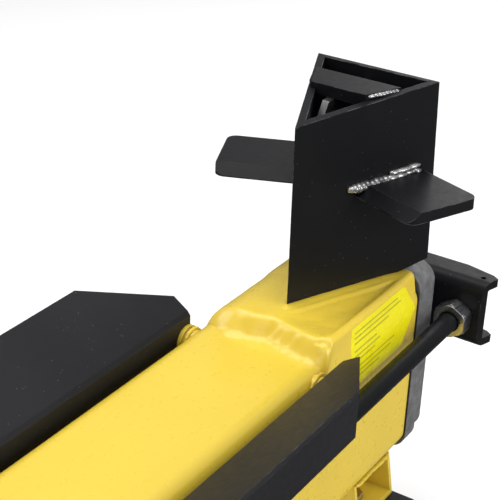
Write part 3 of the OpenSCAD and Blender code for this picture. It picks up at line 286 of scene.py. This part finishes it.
MATS = {
    "yellow_paint": paint("yellow_paint", YELLOW, YELLOW_DARK, 0.3, 0.05, 0.05, (0.95, 0.8, 0.25), 0.25,
                          coat=0.35),
    "black_paint": paint("black_paint", BLACK, (0.0055, 0.006, 0.007), 0.42, 0.06, 0.05,
                         (0.3, 0.3, 0.3), 0.7, dust=0.35, specular=0.2),
    # The trays' paint also leans a little blue, to offset the yellow light bounced from the beam.
    "grey_black_paint": paint("grey_black_paint", (0.018, 0.018, 0.021), (0.013, 0.013, 0.015), 0.46,
                              0.05, 0.06, (0.3, 0.3, 0.3), 0.5, dust=0.3, specular=0.2),
    "zinc": metal("zinc", (0.62, 0.63, 0.65), 0.3, tarnish=(0.42, 0.41, 0.39)),
    "cast_cover": cast("cast_cover", (0.22, 0.22, 0.225)),
    "gasket": moulded("gasket", (0.006, 0.006, 0.006), 0.7),
    "rubber": moulded("rubber", (0.012, 0.012, 0.012), 0.75, 0.1, 500.0),
    "chrome": metal("chrome", (0.72, 0.73, 0.75), 0.12, (40.0, 300.0, 300.0), (0.6, 0.6, 0.61), 0.004),
    "steel": metal("steel", (0.42, 0.42, 0.43), 0.35),
    "seal_polymer": moulded("seal_polymer", (0.03, 0.08, 0.2), 0.5),
    "red_plastic": moulded("red_plastic", (0.5, 0.012, 0.01), 0.32, 0.03, coat=0.2),
    "green_plastic": moulded("green_plastic", (0.012, 0.22, 0.04), 0.35, 0.03, coat=0.2),
    "black_plastic": moulded("black_plastic", (0.014, 0.014, 0.015), 0.5),
    "motor_paint": paint("motor_paint", (0.017, 0.018, 0.019), (0.012, 0.012, 0.013), 0.46, 0.06, 0.09,
                         (0.15, 0.15, 0.15), 0.3, dust=0.2, radius=0.7),
    "winding": wound_copper(),
    "capacitor_can": metal("capacitor_can", (0.7, 0.7, 0.71), 0.25),
    "wheel_plastic": moulded("wheel_plastic", (0.016, 0.016, 0.017), 0.48),
    "tyre": moulded("tyre", (0.011, 0.011, 0.011), 0.8, 0.12, 380.0),
}
for part in frame["record"]["subparts"]:
    held = NODES[part["node"]]
    held.data.materials.clear()
    held.data.materials.append(MATS[part["material_slot"]])

# The rib is drawn in a paler metal than the black wedge: painted light for the light that falls on its
# strip.
NODES["wedge_rib"].data.materials[0] = metal("lit_rib", (0.2, 0.2, 0.2), 0.4)


# Floor and light

def make_stage():
    g = Graph("floor_paper")
    tone = g.noise(1.3, 2.0)
    g.set(color=g.mix(tone, (0.97, 0.97, 0.97), (1.0, 1.0, 1.0)), rough=0.85, specular=0.1)
    mesh = bpy.data.meshes.new("floor")
    half = 60.0
    mesh.from_pydata([(-half, -half, 0), (half, -half, 0), (half, half, 0), (-half, half, 0)], [],
                     [(0, 1, 2, 3)])
    mesh.materials.append(g.mat)
    floor = bpy.data.objects.new("floor", mesh)
    bpy.context.scene.collection.objects.link(floor)
    floor.visible_glossy = False

    world = bpy.data.worlds.new("studio")
    bpy.context.scene.world = world
    world.use_nodes = True
    tree = world.node_tree
    tree.nodes.clear()
    out = tree.nodes.new("ShaderNodeOutputWorld")
    back = tree.nodes.new("ShaderNodeBackground")
    coord = tree.nodes.new("ShaderNodeTexCoord")
    split = tree.nodes.new("ShaderNodeSeparateXYZ")
    shade = tree.nodes.new("ShaderNodeValToRGB")
    tree.links.new(coord.outputs["Generated"], split.inputs[0])
    tree.links.new(split.outputs["Z"], shade.inputs[0])
    tree.links.new(shade.outputs[0], back.inputs["Color"])
    tree.links.new(back.outputs[0], out.inputs[0])
    shade.color_ramp.elements[0].position = 0.0
    shade.color_ramp.elements[0].color = (0.16, 0.16, 0.16, 1)
    shade.color_ramp.elements[1].position = 0.9
    shade.color_ramp.elements[1].color = (0.6, 0.6, 0.6, 1)
    back.inputs["Strength"].default_value = 1.0

    target = Vector((0.2, 0.0, 0.3))
    for name, place, size, power in (
        ("top_box", (0.1, 0.3, 2.6), 2.4, 42.0),
        ("right_box", (0.3, -2.6, 1.3), 1.6, 33.0),
        ("left_box", (-0.6, 2.4, 1.7), 1.4, 17.0),
        ("rear_box", (2.8, 0.4, 1.4), 1.2, 10.0),
        ("front_box", (-2.4, -1.0, 1.7), 1.6, 9.0),
    ):
        data = bpy.data.lights.new(name, "AREA")
        data.shape = "SQUARE"
        data.size = size
        data.energy = power
        lamp = bpy.data.objects.new(name, data)
        lamp.location = place
        lamp.rotation_euler = (target - Vector(place)).to_track_quat("-Z", "Y").to_euler()
        bpy.context.scene.collection.objects.link(lamp)
    bpy.context.scene.view_settings.view_transform = "Standard"


make_stage()


# Mesh helpers

def smooth_step(t):
    t = np.clip(t, 0.0, 1.0)
    return t * t * (3 - 2 * t)


def add_mesh(name, verts, faces, mat, body, smooth=True):
    mesh = bpy.data.meshes.new(name)
    mesh.from_pydata([tuple(v) for v in verts], [], faces)
    mesh.validate()
    mesh.materials.append(MATS[mat] if isinstance(mat, str) else mat)
    if smooth:
        mesh.shade_smooth()
    obj = bpy.data.objects.new(name, mesh)
    bpy.context.scene.collection.objects.link(obj)
    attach(obj, body)
    return obj


def grid_faces(rows, cols, wrap=False):
    """Quads between the points of a grid, which may close round on its columns."""
    faces = []
    last = cols if wrap else cols - 1
    for i in range(rows - 1):
        for j in range(last):
            k = (j + 1) % cols
            faces.append((i * cols + j, i * cols + k, (i + 1) * cols + k, (i + 1) * cols + j))
    return faces


def bead_points(path, radius, pitch, side=(0, 0, 1), seed=0, squash=0.75, lag=0.35):
    """Rings of a weld bead: ripples follow each other along the path, each one a little crescent."""
    path = [Vector(p) for p in path]
    lengths = [0.0]
    for a, b in zip(path, path[1:]):
        lengths.append(lengths[-1] + (b - a).length)
    total = lengths[-1]
    count = max(8, int(total / pitch * 7))
    rng = np.random.default_rng(seed)
    steps = max(2, int(total / pitch) + 2)
    wob = rng.normal(0, 1, (steps, 3))
    ring = 14
    verts = []
    for i in range(count + 1):
        s = total * i / count
        k = max(j for j in range(len(path) - 1) if lengths[j] <= s + 1e-9)
        span = lengths[k + 1] - lengths[k]
        t = (s - lengths[k]) / span
        along = (path[k + 1] - path[k]).normalized()
        up = Vector(side)
        up = (up - along * up.dot(along)).normalized()
        across = along.cross(up)
        centre = path[k].lerp(path[k + 1], t)
        phase = s / pitch
        n = int(phase)
        saw = phase - n
        w = wob[n % steps]
        ripple = 0.86 + 0.16 * math.sin(math.pi * saw ** 0.6) + 0.05 * w[0]
        end = min(1.0, math.sqrt(max(0.0, min(s, total - s)) / (1.2 * radius)) + 0.02)
        r = radius * ripple * end
        centre = centre + across * (radius * 0.07 * w[1]) + up * (radius * 0.05 * w[2])
        for j in range(ring):
            a = 2 * math.pi * j / ring
            c, d = math.cos(a), math.sin(a)
            push = lag * pitch * abs(d) * (1 if i not in (0, count) else 0)
            verts.append(centre + across * (r * c) + up * (r * squash * d) - along * push * 0.5)
    return verts, count + 1, ring


def bead(name, path, radius, pitch=0.0032, mat="black_paint", body="machine", **more):
    """A weld bead along a path, which lies half in the corner that it fills."""
    verts, rows, ring = bead_points(path, radius, pitch, **more)
    faces = grid_faces(rows, ring, True)
    faces.append(tuple(range(ring))[::-1])
    faces.append(tuple((rows - 1) * ring + j for j in range(ring)))
    return add_mesh(name, verts, faces, mat, body)


def lathe(name, profile, centre, axis, mat, body, steps=64):
    """A profile of (distance along the axis, radius) points, turned about the axis."""
    axis = Vector(axis).normalized()
    side = axis.orthogonal().normalized()
    other = axis.cross(side)
    verts = []
    for along, r in profile:
        for j in range(steps):
            a = 2 * math.pi * j / steps
            verts.append(Vector(centre) + axis * along + (side * math.cos(a) + other * math.sin(a)) * r)
    faces = grid_faces(len(profile), steps, True)
    faces.append(tuple(range(steps))[::-1])
    faces.append(tuple((len(profile) - 1) * steps + j for j in range(steps)))
    return add_mesh(name, verts, faces, mat, body)


def sharpen(obj, degrees=35):
    """Smooth shading that stays crisp at angles over the limit."""
    obj.data.set_sharp_from_angle(angle=math.radians(degrees))
    return obj


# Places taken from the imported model

BEAM_LO, BEAM_HI = (Vector(c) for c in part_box("beam_tube"))
SADDLE_LO, SADDLE_HI = (Vector(c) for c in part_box("saddle"))
WEDGE_LO, WEDGE_HI = (Vector(c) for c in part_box("wedge_sides"))
HALF = math.atan2(-WEDGE_LO.y, WEDGE_HI.x - APEX_X)
TOP_Z = BEAM_HI.z
PLATEAU_Z = WEDGE_LO.z
BEAM_HW = BEAM_HI.y
# side plate of the wedge, where its wing welds end, and the tyres' section
WEDGE_T = 6.5 * MM
WELD_END = 131 * MM
TYRE_T = 22 * MM
TYRE_CROWN = 9 * MM
TREAD_DEPTH = 2.4 * MM
TREAD_BLOCKS = 26


# Saddle

ROLL_R = 31 * MM
FOLD_R = 4.5 * MM
BEAM_R = 15.6 * MM


def saddle_side(z):
    """How far the saddle's side stands from the centre line; it fairs into the beam's side."""
    plate = SADDLE_HI.y + 0.6 * MM
    low = BEAM_HW + 0.12 * MM
    t = smooth_step((z - (TOP_Z - 22 * MM)) / (26 * MM))
    return low + (plate - low) * t


def wedge_distance(x, y):
    """Distance outside the wedge's foot, negative inside it."""
    px, py = x - APEX_X, np.abs(y)
    along = px * math.cos(HALF) + py * math.sin(HALF)
    off = -px * math.sin(HALF) + py * math.cos(HALF)
    return np.where(along < 0, np.hypot(px, py), off)


def noise_wave(x, y):
    """Slow hand-made unevenness, about -1 to 1."""
    return (math.sin(x * 190 + 2.1 * math.sin(y * 130)) + math.sin(y * 260 + 1.7 * math.sin(x * 310))
            + 0.6 * math.sin(x * 640 + y * 480)) / 2.6


def step_front(y):
    """Where the foot of the step lies: in the middle it stands back, to both sides it comes forwards."""
    side = 7 * MM * (1 - math.exp(-(y / (24 * MM)) ** 2)) if y < 0 else 0.33 * min(y, 36 * MM)
    right = 5 * MM * float(smooth_step((-44 * MM - y) / (10 * MM)))
    return APEX_X - 32 * MM - side + right


def step_height(x, y):
    """Level of the seat: the beam's top, then a welded step that runs slightly askew."""
    front = step_front(y)
    run = 8 * MM + 6 * MM * float(smooth_step((y - 10 * MM) / (34 * MM)))
    hand = float(smooth_step((46 * MM - y) / (14 * MM)))
    wave = 0.4 * MM * noise_wave(x, y) * hand
    ramp = (x - front + wave) / run
    soft = 0.19
    level = float(soft * (np.logaddexp(0, ramp / soft) - np.logaddexp(0, (ramp - 1) / soft)))
    toe_h = (0.8 + 0.3 * noise_wave(x * 0.4, y * 1.6)) * MM * hand
    toe = toe_h * math.exp(-((x - front + 2.2 * MM) / (3.2 * MM)) ** 2)
    rise = PLATEAU_Z - TOP_Z
    tail = float(smooth_step((SADDLE_HI.x + 0.5 * MM - x) / (6 * MM))) ** 0.5
    return TOP_Z - 0.5 * MM + (rise + 0.5 * MM) * level * tail + toe


def saddle_top(x, y):
    """Height of the top: level on the left, hollow between the wedge's foot and the fold on the right."""
    level = step_height(x, y)
    grain = 0.14 * MM * noise_wave(x, y)
    d = float(wedge_distance(x, y))
    tail = float(smooth_step((SADDLE_HI.x - 4 * MM - x) / (26 * MM)))
    front = step_front(y) + 6 * MM
    fillet = 1.6 * MM * (1 - float(smooth_step(d / (8 * MM)))) * tail
    if y >= 0:
        return level + fillet + grain
    hand = float(smooth_step(-y / (12 * MM)))
    behind = float(smooth_step((x - front) / (34 * MM))) * tail * hand
    ripple = (1 + 0.12 * noise_wave(x * 0.5, y * 0.5)) * MM
    crease = 2.2 * MM * float(smooth_step((d - 8.5 * ripple) / (3.5 * MM)))
    slope = 3.0 * MM * float(smooth_step((d - 10 * ripple) / (16 * MM)))
    edge = SADDLE_HI.y - FOLD_R + y
    rim = float(smooth_step((edge + 1.5 * MM) / (7.5 * MM)))
    return level + fillet - (crease + slope) * behind * rim + grain * rim


def side_half(x, sign):
    """Points of one half of a section, from the low seam up and over the corner."""
    front = step_front(sign * 50 * MM) - (14 * MM if sign > 0 else 0)
    inside = float(smooth_step((x - front) / (11 * MM)))
    corner = FOLD_R if sign < 0 else ROLL_R
    r = BEAM_R * (1 - inside) + corner * inside
    inset = 0.35 * MM * (1 - inside)
    join = SADDLE_HI.y + 0.4 * MM - r
    height = saddle_top(x, sign * join)
    low_z = TOP_Z - 24 * MM
    side_z = height - r
    pts = []
    for z in np.linspace(min(low_z, side_z - 2 * MM), side_z, 14):
        pts.append(((BEAM_HW - inset) * (1 - inside) + float(saddle_side(z)) * inside, z))
    side_y = pts[-1][0]
    for a in np.linspace(0, math.pi / 2, 13)[1:]:
        c = math.cos(a)
        pts.append((join + (side_y - join) * c, side_z + r * math.sin(a)))
    return [(sign * y, z) for y, z in pts], sign * join


def make_saddle():
    foot = SADDLE_LO.x
    end = SADDLE_HI.x
    xs = np.concatenate([np.arange(foot - 14 * MM, foot - 6 * MM, 1.2 * MM),
                         np.arange(foot - 6 * MM, foot + 20 * MM, 0.6 * MM),
                         np.arange(foot + 20 * MM, end - 6 * MM, 1.2 * MM),
                         np.linspace(end - 6 * MM, end + 0.4 * MM, 14)])
    rows = []
    for x in xs:
        left, left_y = side_half(x, 1)
        right, right_y = side_half(x, -1)
        top = [(y, saddle_top(x, y)) for y in np.linspace(left_y, right_y, 92)[1:-1]]
        rows.append(left + top + right[::-1])
    cols = len(rows[0])
    verts = [(x, y, z) for x, row in zip(xs, rows) for y, z in row]
    faces = grid_faces(len(xs), cols)
    faces.append(tuple((len(xs) - 1) * cols + j for j in range(cols)))
    obj = add_mesh("saddle_skin", verts, [f[::-1] for f in faces], "yellow_paint", "machine")
    sharpen(obj, 50)
    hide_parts("saddle")


make_saddle()


# Label on the beam's side: a blank field with plain ruled lines

def label_material():
    g = Graph("label")
    split = g.node("ShaderNodeSeparateXYZ")
    g.put(g.coord, split.inputs[0])
    x, z = split.outputs["X"], split.outputs["Z"]
    base = g.mix(g.ramp(g.noise(30.0, 2.0), 0.3, 0.7), (0.95, 0.84, 0.0), (0.98, 0.88, 0.0))
    x0 = APEX_X + 12 * MM
    mask = None
    rows = ((6, 76), (11, 82), (16, 60), (23, 38), (28, 44), (33, 36), (40, 72), (45, 66), (50, 46))
    for drop, length in rows:
        at = TOP_Z + 11 * MM - drop * MM
        line = g.ramp(g.math("ABSOLUTE", g.math("SUBTRACT", z, at)), 0.9 * MM, 0.6 * MM)
        start = g.ramp(x, x0, x0 + 0.4 * MM)
        stop = g.ramp(x, x0 + length * MM, x0 + (length + 0.4) * MM, 1.0, 0.0)
        line = g.math("MULTIPLY", line, g.math("MULTIPLY", start, stop))
        mask = line if mask is None else g.math("MAXIMUM", mask, line)
    base = g.mix(g.math("MULTIPLY", mask, 0.6), base, (0.12, 0.11, 0.03))
    gloss = g.ramp(g.noise(90.0, 2.0), 0.3, 0.7, 0.24, 0.34)
    return g.set(color=base, rough=gloss, normal=g.bump(g.noise(60.0, 2.0), 0.05 * MM))


def make_label():
    """An arrow-ended label that follows the faired side; both faces and the edge are real."""
    top, low = TOP_Z + 11.5 * MM, TOP_Z - 48 * MM
    mid = (top + low) / 2
    x0, x1, tip = APEX_X + 6.5 * MM, APEX_X + 100 * MM, APEX_X + 122 * MM
    r = 3 * MM
    rows = []
    zs = np.linspace(low, top, 46)
    for z in zs:
        t = abs(z - mid) / (top - mid)
        end = tip + (x1 - tip) * t
        start = x0
        to_edge = min(z - low, top - z)
        if to_edge < r:
            cut = r - math.sqrt(max(0.0, r * r - (r - to_edge) ** 2))
            start += cut
            end -= cut
        rows.append((z, start, end))
    cols = 40
    outer, inner = [], []
    for z, start, end in rows:
        y = float(saddle_side(z))
        for x in np.linspace(start, end, cols):
            outer.append((x, -y - 0.22 * MM, z))
            inner.append((x, -y + 0.1 * MM, z))
    faces = [f for f in grid_faces(len(rows), cols)]
    n = len(outer)
    faces += [tuple(n + i for i in f[::-1]) for f in grid_faces(len(rows), cols)]
    last = len(rows) - 1
    rim = ([(0, j) for j in range(cols)] + [(i, cols - 1) for i in range(1, len(rows))]
           + [(last, j) for j in range(cols - 2, -1, -1)] + [(i, 0) for i in range(last - 1, 0, -1)])
    ids = [i * cols + j for i, j in rim]
    for a, b in zip(ids, ids[1:] + ids[:1]):
        faces.append((b, a, n + a, n + b))
    MATS["label"] = label_material()
    sharpen(add_mesh("side_label", outer + inner, faces, "label", "machine"), 40)


make_label()


# Welds

def plate_point(s, side, z, out=0.0):
    """A point on a wedge plate's outer face: s along it from the cutting edge, out square to it."""
    c, d = math.cos(HALF), math.sin(HALF)
    out += LEAN * d * (z - PLATEAU_Z) / EDGE_H
    return Vector((APEX_X + s * c - out * d, side * (s * d + out * c), z))


def plate_span(node, side):
    """A node's extent along a wedge plate's outer face."""
    c, d = math.cos(HALF), math.sin(HALF)
    values = [(v.co.x - APEX_X) * c + side * v.co.y * d for v in NODES[node].data.vertices]
    return min(values), max(values)


def weld_metal():
    g = Graph("weld_metal")
    ripple = g.noise(420.0, 4.0, 0.6)
    patch = g.noise(55.0, 3.0, 0.6)
    base = g.mix(g.ramp(patch, 0.42, 0.6), (0.03, 0.03, 0.031), (0.5, 0.5, 0.5))
    # Painted shade: darker in the bead's crevices.
    base = g.mix(g.painted_crevice_shade(0.004), (0.01, 0.01, 0.01), base)
    normal = g.bump(ripple, 0.12 * MM)
    return g.set(color=base, rough=g.ramp(patch, 0.4, 0.65, 0.35, 0.2), metal=0.75, normal=normal)


MATS["weld_metal"] = weld_metal()


def wing_weld(node, side, seed):
    """A thick hand-laid bead over the wing, two smooth runs that climb behind it, one bead below."""
    lo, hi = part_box(node)
    s0, s1 = plate_span(node, side)
    s1 = min(s1, WELD_END)
    length = s1 - s0
    top = hi[2] - (2.0 * MM if side < 0 else 0)
    runs = (
        ("top", 5.8 * MM, 0.0046, -0.12, 0.62, -2.4 * MM, -1.6 * MM),
        ("mid", 4.4 * MM, 0.0090, 0.36, 1.0, -1.0 * MM, 0.4 * MM),
        ("high", 3.2 * MM, 0.0110, 0.5, 0.99, 3.0 * MM, 5.8 * MM),
    )
    for tag, r, pitch, t0, t1, z0, z1 in runs:
        path = [plate_point(s0 + length * (t0 + (t1 - t0) * t), side, top + z0 + (z1 - z0) * t, 0.6 * MM)
                for t in np.linspace(0, 1, 9)]
        bead(f"weld_{node}_{tag}", path, r, pitch, "weld_metal", side=(0, 0, 1), seed=seed)
        seed += 7
    low = lo[2] + 0.4 * MM
    path = [plate_point(s0 + length * (0.16 + 0.8 * t), side, low - 1.5 * MM, 0.4 * MM)
            for t in np.linspace(0, 1, 9)]
    bead(f"weld_{node}_under", path, 3.6 * MM, 0.0042, "weld_metal", side=(0, 0, 1), seed=seed)


def ring_weld(name, centre, radius, axis, thick, mat="yellow_paint", body="machine", seed=0):
    """A closed fillet bead round a boss, whose axis is given."""
    axis = Vector(axis).normalized()
    u = axis.orthogonal().normalized()
    v = axis.cross(u)
    path = [Vector(centre) + (u * math.cos(a) + v * math.sin(a)) * radius
            for a in np.linspace(0, 2 * math.pi * 1.02, 41)]
    return bead(name, path, thick, 0.0036, mat, body, side=tuple(axis), seed=seed)


def make_welds():
    wing_weld("wing_right", -1, 2)
    wing_weld("wing_left", 1, 4)
    lo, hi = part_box("wedge_brace")
    s0, s1 = (lo[0] - APEX_X) / math.cos(HALF), (hi[0] - APEX_X) / math.cos(HALF)
    inner = -(WEDGE_T + 0.6 * MM)
    path = [plate_point(s0 + (s1 - s0 - 3 * MM) * t, -1, hi[2] - 2.4 * MM, inner)
            for t in np.linspace(0, 1, 6)]
    bead("weld_brace_right", path, 2.6 * MM, 0.0036, "weld_metal", seed=8)
    path = [plate_point(s0 + 2 * MM + (s1 - s0 - 6 * MM) * t, 1, hi[2] - 1.8 * MM, -2.6 * MM)
            for t in np.linspace(0, 1, 6)]
    bead("weld_brace_left", path, 2.4 * MM, 0.0036, "black_paint", seed=10)
    back_lo, back_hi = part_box("wedge_back")
    path = [(back_hi[0] + 0.5 * MM, y, PLATEAU_Z + 1 * MM) for y in np.linspace(-0.048, 0.048, 9)]
    bead("weld_wedge_back", path, 4 * MM, 0.004, "yellow_paint", side=(0, 0, 1), seed=21)
    for side in (-1, 1):
        path = [(back_hi[0] - (back_hi[0] - back_lo[0]) * 0.6 * t - 0.6 * MM, side * 0.0488,
                 PLATEAU_Z + 6 * MM + t * (WEDGE_HI.z - PLATEAU_Z - 14 * MM)) for t in np.linspace(0, 1, 5)]
        bead(f"weld_wedge_rear_{side + 1}", path, 3.0 * MM, 0.0038, "black_paint", side=(1, 0, 0),
             seed=31 + side)


make_welds()

# Fittings: threads, boss and bracket welds, tyre treads and small screws

def thread(name, centre, axis, radius, length, pitch, mat, body):
    """Thread ridges that stand a little proud of a plain shank."""
    profile = [(0.0, radius - 0.3 * MM)]
    for i in range(int(length / pitch)):
        profile.append((i * pitch + 0.12 * pitch, radius - 0.05 * MM))
        profile.append((i * pitch + 0.5 * pitch, radius + 0.32 * MM))
        profile.append((i * pitch + 0.88 * pitch, radius - 0.05 * MM))
    profile.append((length, radius - 0.3 * MM))
    return sharpen(lathe(name, profile, centre, axis, mat, body, 48), 25)


def dome_screw(name, centre, axis, radius, mat, body):
    """A pan-head screw with a socket in its crown."""
    h = 0.62 * radius
    profile = [(-0.5 * MM, radius), (0.35 * h, radius)]
    for a in np.linspace(0.2, 1.2, 6):
        profile.append((0.35 * h + 0.65 * h * math.sin(a), radius * (0.45 + 0.55 * math.cos(a))))
    profile += [(0.98 * h, 0.45 * radius), (0.45 * h, 0.4 * radius), (0.4 * h, 0.02 * radius)]
    return sharpen(lathe(name, profile, centre, axis, mat, body, 24), 30)


def make_threads():
    rods_lo, rods_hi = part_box("tie_rods")
    nuts_lo, nuts_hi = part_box("tie_nuts")
    rod_r = (rods_hi[2] - rods_lo[2]) / 2
    z = (rods_lo[2] + rods_hi[2]) / 2
    start = nuts_hi[0] - 1 * MM
    for side in (-1, 1):
        y = side * (rods_hi[1] - rod_r)
        thread(f"tie_thread_{side + 1}", (start, y, z), (1, 0, 0), rod_r,
               rods_hi[0] - start - 1.6 * MM, 2.5 * MM, "zinc", "ram")


def make_fitting_welds():
    lo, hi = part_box("tray_bosses")
    z = (lo[2] + hi[2]) / 2
    half = (hi[2] - lo[2]) / 2
    for side in (-1, 1):
        for i, x in enumerate((lo[0] + half, hi[0] - half)):
            ring_weld(f"weld_boss_{side + 1}_{i}", (x, side * (BEAM_HW + 0.4 * MM), z), 0.86 * half,
                      (0, side, 0), 2.1 * MM, seed=41 + i + side)
    for node in ("leg_bracket", "axle_bracket"):
        lo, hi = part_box(node)
        half = min(hi[1], BEAM_HW - 5 * MM)
        for side in (-1, 1):
            path = [(lo[0] + 3 * MM + (hi[0] - lo[0] - 6 * MM) * t, side * half, BEAM_LO.z - 0.6 * MM)
                    for t in np.linspace(0, 1, 9)]
            bead(f"weld_{node}_{side + 1}", path, 2.8 * MM, 0.0038, "yellow_paint", seed=51 + side)
    lo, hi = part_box("pusher_plate")
    for tag, x in (("front", hi[0] + 0.3 * MM), ("back", lo[0] - 0.3 * MM)):
        path = [(x, 0.9 * (lo[1] + (hi[1] - lo[1]) * t), lo[2] + 1 * MM) for t in np.linspace(0, 1, 9)]
        bead(f"weld_pusher_{tag}", path, 3.2 * MM, 0.004, "black_paint", "ram", seed=61)


def tread_cut(part, y, half):
    """Depth of the tread's grooves, 0 to 1: one round the middle and slanted ones beside it."""
    middle = float(smooth_step((2.6 * MM - abs(y)) / (0.8 * MM)))
    slant = (part + 0.5 * abs(y) / half) % 1.0
    return max(middle, float(smooth_step((abs(slant - 0.5) - 0.32) / 0.07)))


def make_tyre(node, body):
    """Solid rubber tyre with its tread cut into the outer face."""
    lo, hi = (Vector(c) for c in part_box(node))
    centre = (lo + hi) / 2
    radius, half = (hi.x - lo.x) / 2, (hi.y - lo.y) / 2
    thick, crown = TYRE_T, TYRE_CROWN
    flat = half - crown
    section = []
    for i, (sy, sr) in enumerate(((-1, 1), (1, 1), (1, -1), (-1, -1))):
        for a in np.linspace(math.pi * (1 - i / 2), math.pi * (0.5 - i / 2), 9):
            section.append((sy * flat + crown * math.cos(a),
                            radius - thick / 2 + sr * (thick / 2 - crown) + crown * math.sin(a)))
        if i == 0:
            section += [(t * flat, radius) for t in np.linspace(-1, 1, 25)[1:-1]]
    per = 16
    rows, cols = TREAD_BLOCKS * per, len(section)
    verts = []
    for i in range(rows):
        turn = 2 * math.pi * i / rows
        for y, r in section:
            outer = float(smooth_step((r - radius + 7 * MM) / (3 * MM)))
            r -= TREAD_DEPTH * outer * tread_cut(i / per, y, half)
            verts.append((centre.x + r * math.cos(turn), centre.y + y, centre.z + r * math.sin(turn)))
    faces = [(i * cols + j, i * cols + (j + 1) % cols, (i + 1) % rows * cols + (j + 1) % cols,
              (i + 1) % rows * cols + j) for i in range(rows) for j in range(cols)]
    obj = sharpen(add_mesh(f"{node}_tread", verts, faces, "tyre", body), 40)
    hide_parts(node)


def make_screws():
    lo, hi = (Vector(c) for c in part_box("fan_cover"))
    centre, r = (lo + hi) / 2, (hi.z - lo.z) / 2
    for i in range(4):
        a = math.radians(45 + 90 * i)
        out = Vector((0, math.cos(a), math.sin(a)))
        dome_screw(f"cover_screw_{i}", Vector((hi.x - 7 * MM, centre.y, centre.z)) + out * r, out,
                   4.2 * MM, "zinc", "machine")
    lo, hi = (Vector(c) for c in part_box("switch_box"))
    for i, (x, z) in enumerate(((lo.x, lo.z), (lo.x, hi.z), (hi.x, lo.z), (hi.x, hi.z))):
        x += 6.5 * MM if x == lo.x else -6.5 * MM
        z += 6.5 * MM if z == lo.z else -6.5 * MM
        dome_screw(f"box_screw_{i}", (x, lo.y, z), (0, -1, 0), 2.8 * MM, "zinc", "machine")


make_threads()
make_fitting_welds()
make_tyre("tyre_left", "left_wheel")
make_tyre("tyre_right", "right_wheel")
make_screws()
